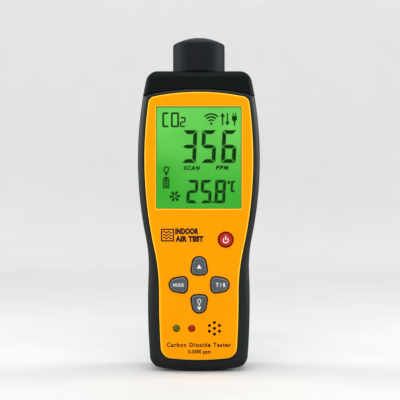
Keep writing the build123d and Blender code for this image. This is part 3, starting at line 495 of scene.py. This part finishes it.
def digit(character, left, right, low, high, stroke, slant=0.0, cut=0.16, gap=0.10):
    """A seven-segment character, its corners cut off and its segments parted by narrow gaps.

    cut and gap are shares of the stroke.
    """
    mid, half = (low + high) / 2, stroke / 2
    cut, gap = cut * stroke, gap * stroke
    notch = half if "g" in LIT[character] else 0.0  # room for the middle segment's pointed ends

    def across(z, inward):
        """The top or bottom segment; inward is -1 at the top and 1 at the bottom."""
        inner = stroke + gap
        return [
            (left + cut, z), (right - cut, z),
            (right - inner, z + inward * stroke), (left + inner, z + inward * stroke),
        ]

    def upright(x, inward, end, way):
        """A standing segment; inward is 1 on the left, and way is 1 for one that stands upwards."""
        inner = x + inward * stroke
        return [
            (x, mid + way * gap), (x, end - way * cut),
            (inner, end - way * (stroke + gap)), (inner, mid + way * (notch + gap)),
        ]

    shapes = {
        "a": across(high, -1), "d": across(low, 1),
        "g": [
            (left + cut, mid), (left + stroke + gap, mid + half), (right - stroke - gap, mid + half),
            (right - cut, mid), (right - stroke - gap, mid - half), (left + stroke + gap, mid - half),
        ],
        "b": upright(right, -1, high, 1), "f": upright(left, 1, high, 1),
        "c": upright(right, -1, low, -1), "e": upright(left, 1, low, -1),
    }
    return [[(x + slant * (z - mid), z) for x, z in shapes[key]] for key in LIT[character]]


# ---------------------------------------------------------------- pieces from flat shapes
def area(points):
    """Twice the signed area inside a closed outline, positive when it runs anticlockwise."""
    pairs = zip(points, points[1:] + points[:1])
    return sum(a[0] * b[1] - b[0] * a[1] for a, b in pairs)


def height_of(surface):
    """A surface as a function of x, from a Y or from such a function."""
    return surface if callable(surface) else (lambda x: surface)


def finished(name, mesh, material, body):
    """The piece for a made mesh, with its material and body."""
    mesh.materials.clear()
    mesh.materials.append(material)
    piece = bpy.data.objects.new(name, mesh)
    bpy.context.scene.collection.objects.link(piece)
    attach(piece, body)
    return piece


def thin_piece(name, shapes, surface, rise, material, body="root", facing=-1):
    """Closed thin solids from flat shapes, standing rise proud of a surface.

    surface is a Y, or a function of x that gives one; facing is -1 at the front, 1 at the back.
    """
    at = height_of(surface)
    mesh_maker = bmesh.new()
    for shape in shapes:
        points = list(shape) if area(list(shape)) > 0 else list(shape)[::-1]
        sides = [
            [mesh_maker.verts.new((x, at(x) + facing * depth, z)) for x, z in points]
            for depth in (0.0, rise)
        ]
        count = len(points)
        if facing < 0:
            mesh_maker.faces.new(sides[1])
            mesh_maker.faces.new(sides[0][::-1])
        else:
            mesh_maker.faces.new(sides[1][::-1])
            mesh_maker.faces.new(sides[0])
        for i in range(count):
            j = (i + 1) % count
            mesh_maker.faces.new((sides[0][i], sides[0][j], sides[1][j], sides[1][i]))
    bmesh.ops.recalc_face_normals(mesh_maker, faces=mesh_maker.faces)
    mesh = bpy.data.meshes.new(name)
    mesh_maker.to_mesh(mesh)
    mesh_maker.free()
    return finished(name, mesh, material, body)


def lettering(name, text, x, z, width, tall, surface, rise, material, slot, body="root",
              slant=0.0, bold=0.0, facing=-1, spread=1.0):
    """A line of letters, scaled to a width and a capital height, laid on a surface about (x, z)."""
    at = height_of(surface)
    curve = bpy.data.curves.new(name, "FONT")
    curve.body = text
    curve.offset = bold
    curve.space_character = spread
    curve.extrude = 0.1
    curve.resolution_u = 4
    words = bpy.data.objects.new(name + ".maker", curve)
    bpy.context.scene.collection.objects.link(words)
    bpy.context.view_layer.update()
    mesh = bpy.data.meshes.new_from_object(words.evaluated_get(bpy.context.evaluated_depsgraph_get()))
    bpy.data.objects.remove(words)
    bpy.data.curves.remove(curve)
    xs = [v.co.x for v in mesh.vertices]
    zs = [v.co.y for v in mesh.vertices]
    wide, high = max(xs) - min(xs), max(zs) - min(zs)
    for v in mesh.vertices:
        across = ((v.co.x - min(xs)) / wide - 0.5) * width
        up = ((v.co.y - min(zs)) / high - 0.5) * tall
        across = (across + slant * up) * -facing
        proud = rise if v.co.z > 0 else 0.0
        v.co = (x + across, at(x + across) + facing * proud, z + up)
    mesh_maker = bmesh.new()
    mesh_maker.from_mesh(mesh)
    bmesh.ops.remove_doubles(mesh_maker, verts=mesh_maker.verts, dist=1e-7)
    bmesh.ops.recalc_face_normals(mesh_maker, faces=mesh_maker.faces)
    mesh_maker.to_mesh(mesh)
    mesh_maker.free()
    mesh.name = name
    return finished(name, mesh, material, body)


# ---------------------------------------------------------------- display art
ART_RISE = 0.06 * MM
ART_X, ART_Z = WINDOW_MID.x, WINDOW_MID.z - 0.40 * MM  # the art's middle, just below the window's
ART_SLANT = 0.045


def on_display(name, shapes):
    """Places shapes, in millimetres from the art's middle, on the display's face."""
    placed = [[(ART_X + x * MM, ART_Z + z * MM) for x, z in shape] for shape in shapes]
    return thin_piece(name, placed, LCD_FRONT, ART_RISE, SEGMENTS)


def display_words(name, text, x, z, width, tall, bold):
    return lettering(
        name, text, ART_X + x * MM, ART_Z + z * MM, width * MM, tall * MM,
        LCD_FRONT, ART_RISE, SEGMENTS, "lcd_green", slant=0.2, bold=bold, spread=1.25,
    )


on_display("display_reading", [
    *digit("3", -10.1, -1.35, -2.75, 17.15, 2.35, ART_SLANT),
    *digit("5", 1.6, 10.45, -2.75, 17.15, 2.35, ART_SLANT),
    *digit("6", 13.9, 22.75, -2.75, 17.15, 2.35, ART_SLANT),
])
SMALL = {"slant": ART_SLANT, "cut": 0.12, "gap": 0.06}
on_display("display_temperature", [
    *digit("2", -7.3, -0.55, -27.2, -13.0, 1.85, **SMALL),
    *digit("5", 1.1, 7.75, -27.2, -13.0, 1.85, **SMALL),
    *digit("8", 9.75, 16.25, -27.2, -13.0, 1.85, **SMALL),
    bar(8.6, -26.5, 1.3, 1.3),
    *ring_shape((18.2, -14.5), 0.6, 0.85),
    *digit("C", 19.4, 22.5, -20.5, -13.6, 1.25, ART_SLANT, cut=0.1, gap=0.0),
])
on_display("display_gas_symbol", [
    *digit("C", -22.2, -17.9, 18.9, 28.0, 1.15, cut=0.1, gap=0.04),
    *digit("O", -16.95, -12.0, 18.9, 28.0, 1.15, cut=0.1, gap=0.04),
    *digit("2", -11.55, -7.95, 19.0, 25.2, 0.95, cut=0.2, gap=0.04),
])
display_words("display_scan", "SCAN", -4.3, -5.8, 9.6, 2.7, 0.06)
display_words("display_ppm", "PPM", 14.2, -5.6, 7.5, 2.6, 0.06)

SIGNAL = (7.5, 21.1)
on_display("display_signal", [
    disc_shape(SIGNAL, 0.8),
    *(strip for radius in (2.3, 4.1, 5.85) for strip in ring_shape(SIGNAL, radius, 0.95, 46, 134)),
])
on_display("display_link", [  # two opposed arrows
    bar(14.4, 22.7, 0.85, 5.2), [(12.9, 25.3), (15.9, 25.3), (14.4, 27.8)],
    bar(17.3, 24.9, 0.85, 5.2), [(15.8, 22.3), (17.3, 19.8), (18.8, 22.3)],
])
on_display("display_plug", [  # a two-pin plug on its lead
    bar(20.85, 26.7, 0.65, 2.0), bar(22.35, 26.7, 0.65, 2.0), bar(21.6, 24.5, 3.1, 2.4),
    [(20.4, 23.3), (21.2, 22.0), (22.0, 22.0), (22.8, 23.3)], bar(21.6, 20.9, 0.8, 2.2),
])
BULB = (-19.75, -6.7)
on_display("display_bulb", [
    *ring_shape(BULB, 1.45, 0.8, -60, 240),
    [(-20.75, -8.05), (-18.75, -8.05), (-19.15, -10.2), (-20.35, -10.2)],
    *(line_shape((BULB[0] + 2.2 * math.cos(t), BULB[1] + 2.2 * math.sin(t)),
                 (BULB[0] + 2.9 * math.cos(t), BULB[1] + 2.9 * math.sin(t)), 0.4)
      for t in (math.radians(a) for a in (35, 90, 145))),
])
on_display("display_battery", [
    *outline_box(-19.85, -15.0, 3.8, 6.3, 0.75), bar(-19.85, -11.5, 1.8, 0.8),
    *(bar(-19.85, z, 1.7, 1.2) for z in (-16.6, -15.0, -13.4)),
])
FAN = (-14.55, -22.95)
on_display("display_fan", [
    [
        (FAN[0] + r * math.cos(math.radians(60 * blade + a)),
         FAN[1] + r * math.sin(math.radians(60 * blade + a)))
        for r, a in ((0.7, -28), (3.2, -11), (3.4, 13), (2.3, 26), (0.8, 22))
    ]
    for blade in range(6)
])

# ---------------------------------------------------------------- printing on the panel
INK_RISE = 0.02 * MM
PANEL_MARK_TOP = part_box("power_key")[1].z
LAMPS_Z = middle("green_lamp").z


def on_panel(name, shapes):
    return thin_piece(name, shapes, panel_surface, INK_RISE, INK_DARK)


def panel_words(name, text, x, z, width, tall, **more):
    return lettering(
        name, text, x, z, width, tall, panel_surface, INK_RISE, INK_DARK, "panel_orange", **more
    )


def wave(x, z, length, height, stroke):
    """A wavy line of two crests, as a strip of quads."""
    steps = 28
    line = [
        (x - length / 2 + length * i / steps, z + height * math.sin(4 * math.pi * i / steps))
        for i in range(steps + 1)
    ]
    return [
        [(a[0], a[1] - stroke / 2), (b[0], b[1] - stroke / 2),
         (b[0], b[1] + stroke / 2), (a[0], a[1] + stroke / 2)]
        for a, b in zip(line, line[1:])
    ]


MARK_X, MARK_Z = -18.9 * MM, PANEL_MARK_TOP - 2.75 * MM
on_panel("mark_air", [
    *outline_box(MARK_X, MARK_Z, 8.0 * MM, 7.8 * MM, 0.85 * MM),
    *(quad for z in (-1.75, 0, 1.75)
      for quad in wave(MARK_X, MARK_Z + z * MM, 5.4 * MM, 0.45 * MM, 0.85 * MM)),
])
panel_words("mark_line_1", "INDOOR", -7.2 * MM, MARK_Z + 2.3 * MM, 14.2 * MM, 3.9 * MM,
            bold=0.085, spread=1.12)
panel_words("mark_line_2", "AIR TEST", -5.7 * MM, MARK_Z - 2.3 * MM, 17.0 * MM, 3.8 * MM,
            bold=0.085, spread=1.12)
panel_words("name_line_1", "Carbon Dioxide Tester", 0.0, LAMPS_Z - 9.9 * MM, 38.8 * MM, 2.8 * MM,
            bold=0.04, spread=1.2)
panel_words("name_line_2", "0-5000 ppm", 0.3 * MM, LAMPS_Z - 14.3 * MM, 13.6 * MM, 3.1 * MM,
            bold=0.045, spread=1.15)


# ---------------------------------------------------------------- key legends
LEGEND_RISE = 0.03 * MM
KEY_FACE = KEY_FRONT + KEY_DISH


def on_key(key, name, shapes):
    """Shapes in millimetres from the key's middle, on the floor of its dish."""
    mid = middle(key)
    placed = [[(mid.x + x * MM, mid.z + z * MM) for x, z in shape] for shape in shapes]
    return thin_piece(name, placed, KEY_FACE, LEGEND_RISE, INK_WHITE, key)


def key_words(key, name, text, width, tall, x, bold):
    mid = middle(key)
    return lettering(
        name, text, mid.x + x * MM, mid.z, width * MM, tall * MM, KEY_FACE, LEGEND_RISE, INK_WHITE,
        "key_grey", key, bold=bold, spread=1.1,
    )


on_key("power_key", "legend_power", [
    *ring_shape((0, -0.35), 1.55, 0.55, 125, 415), bar(0, 1.1, 0.6, 2.6),
])
on_key("up_key", "legend_up", [[(-1.35, -1.6), (1.35, -1.6), (0, 1.0)]])
key_words("mode_key", "legend_mode", "MODE", 6.5, 2.0, 0.05, 0.018)
key_words("timer_key", "legend_timer", "T / R", 5.9, 2.5, 0.55, 0.03)
on_key("down_key", "legend_down", [
    [(-1.35, -1.7), (0, -3.9), (1.35, -1.7)],
    *ring_shape((0, 1.8), 1.05, 0.38, -58, 238),
    line_shape((-0.56, 0.9), (-0.34, 0.0), 0.36), line_shape((0.56, 0.9), (0.34, 0.0), 0.36),
    bar(0, -0.35, 1.0, 0.34), bar(0, -0.95, 0.7, 0.34),
])

# ---------------------------------------------------------------- printing at the back
LABEL = middle("rating_label")


def label_words(name, text, x, z, width, tall):
    return lettering(
        name, text, LABEL.x + x * MM, LABEL.z + z * MM, width * MM, tall * MM, LABEL_BACK,
        INK_RISE, INK_LABEL, "label_silver", facing=1,
    )


label_words("label_title", "CARBON DIOXIDE METER", 0, 6.0, 30, 1.9)
label_words("label_range", "RANGE  0-5000 ppm", 5.4, 2.2, 22, 1.5)
label_words("label_power", "POWER  3 x AA 1.5 V", 5.4, -0.8, 22, 1.5)
thin_piece(
    "label_rules",
    [
        [(LABEL.x + px * MM, LABEL.z + pz * MM) for px, pz in shape]
        for shape in (
            *outline_box(0, 0, 38, 16, 0.2), bar(0, 4.3, 34, 0.25), bar(0, -2.8, 34, 0.15),
            *outline_box(0, -5.4, 33, 2.8, 0.2),
        )
    ],
    LABEL_BACK, INK_RISE, INK_LABEL, facing=1,
)


# ---------------------------------------------------------------- studio
def studio():
    """A seamless pale bowl: a flat floor that curves up into a round wall, open above.

    Its paper glows more the farther it is from the object, where the lights reach it less.
    """
    floor_z = cad_box[0].z
    flat, bend, wall, steps, sides = 0.9, 0.6, 1.6, 16, 96
    profile = [(flat * i / 4, 0.0) for i in range(1, 5)]
    profile += [
        (flat + bend * math.sin(math.pi / 2 * i / steps),
         bend * (1 - math.cos(math.pi / 2 * i / steps)))
        for i in range(1, steps + 1)
    ]
    profile.append((flat + bend, wall))
    maker = bmesh.new()
    centre = maker.verts.new((0, 0, floor_z))
    rings = [
        [
            maker.verts.new((r * math.cos(2 * math.pi * k / sides),
                             r * math.sin(2 * math.pi * k / sides), floor_z + h))
            for k in range(sides)
        ]
        for r, h in profile
    ]
    for k in range(sides):
        after = (k + 1) % sides
        maker.faces.new((centre, rings[0][k], rings[0][after]))
        for low, high in zip(rings, rings[1:]):
            maker.faces.new((low[k], high[k], high[after], low[after]))
    for face in maker.faces:
        face.smooth = True
    mesh = bpy.data.meshes.new("studio_floor")
    maker.to_mesh(mesh)
    maker.free()
    s = Shader("studio_paper")
    away = s.add("ShaderNodeVectorMath", {"Vector": s.place}, operation="LENGTH").outputs["Value"]
    glow = s.ramp(away, 0.25, 1.15, 0.0, 0.30)
    mottle = s.ramp(s.noise(60, 3), 0.3, 0.7)
    s.set(
        Base_Color=s.mix(mottle, (0.66, 0.66, 0.65, 1), (0.68, 0.68, 0.67, 1)),
        Roughness=0.95, Specular_IOR_Level=0.0,
        Emission_Color=(1.0, 1.0, 1.0, 1.0), Emission_Strength=glow,
    )
    mesh.materials.append(s.material)
    floor = bpy.data.objects.new("studio_floor", mesh)
    floor.visible_glossy = False
    bpy.context.scene.collection.objects.link(floor)


def soft_light(name, place, target, size, watts, colour=(1, 1, 1), spread=180):
    """A rectangular lamp aimed at a point; spread is its beam's angle, in degrees."""
    light = bpy.data.lights.new(name, "AREA")
    light.shape = "RECTANGLE"
    light.size, light.size_y = size
    light.energy = watts
    light.color = colour
    light.spread = math.radians(spread)
    lamp = bpy.data.objects.new(name, light)
    lamp.location = place
    lamp.rotation_mode = "QUATERNION"
    lamp.rotation_quaternion = (Vector(target) - Vector(place)).to_track_quat("-Z", "Y")
    bpy.context.scene.collection.objects.link(lamp)


studio()
AIM = (0.0, -0.02, 0.0)
COOL = (0.90, 0.97, 1.0)
soft_light("front_above", (0.0, -0.80, 0.85), AIM, (1.0, 0.5), 6.9)
soft_light("side_left", (-0.80, 0.16, 0.26), AIM, (0.40, 0.46), 1.5, COOL, 110)
soft_light("side_right", (0.80, 0.16, 0.26), AIM, (0.40, 0.46), 1.65, COOL, 110)
soft_light("top", (0.0, -0.10, 0.95), AIM, (0.7, 0.4), 2.7)
soft_light("back", (0.1, 0.95, 0.80), AIM, (0.9, 0.6), 1.8, spread=140)

world = bpy.data.worlds.new("studio_air")
world.use_nodes = True
background = world.node_tree.nodes["Background"]
background.inputs["Color"].default_value = (0.93, 0.95, 1.0, 1.0)
background.inputs["Strength"].default_value = 0.12
bpy.context.scene.world = world
bpy.context.scene.view_settings.view_transform = "Standard"

# ---------------------------------------------------------------- camera
CAMERA_AWAY = 0.6016  # from the instrument's middle plane
CAMERA_X, CAMERA_Z = 0.0007, 0.0093
SENSOR_MM, LENS_MM = 36.0, 86.8
camera_data = bpy.data.cameras.new("camera")
camera_data.sensor_width = SENSOR_MM
camera_data.lens = LENS_MM
camera_data.clip_start, camera_data.clip_end = 0.01, 20.0
camera = bpy.data.objects.new("camera", camera_data)
camera.location = (CAMERA_X, middle("sensor_cap").y - CAMERA_AWAY, CAMERA_Z)
camera.rotation_euler = (math.radians(90), 0, 0)
bpy.context.scene.collection.objects.link(camera)
bpy.context.scene.camera = camera
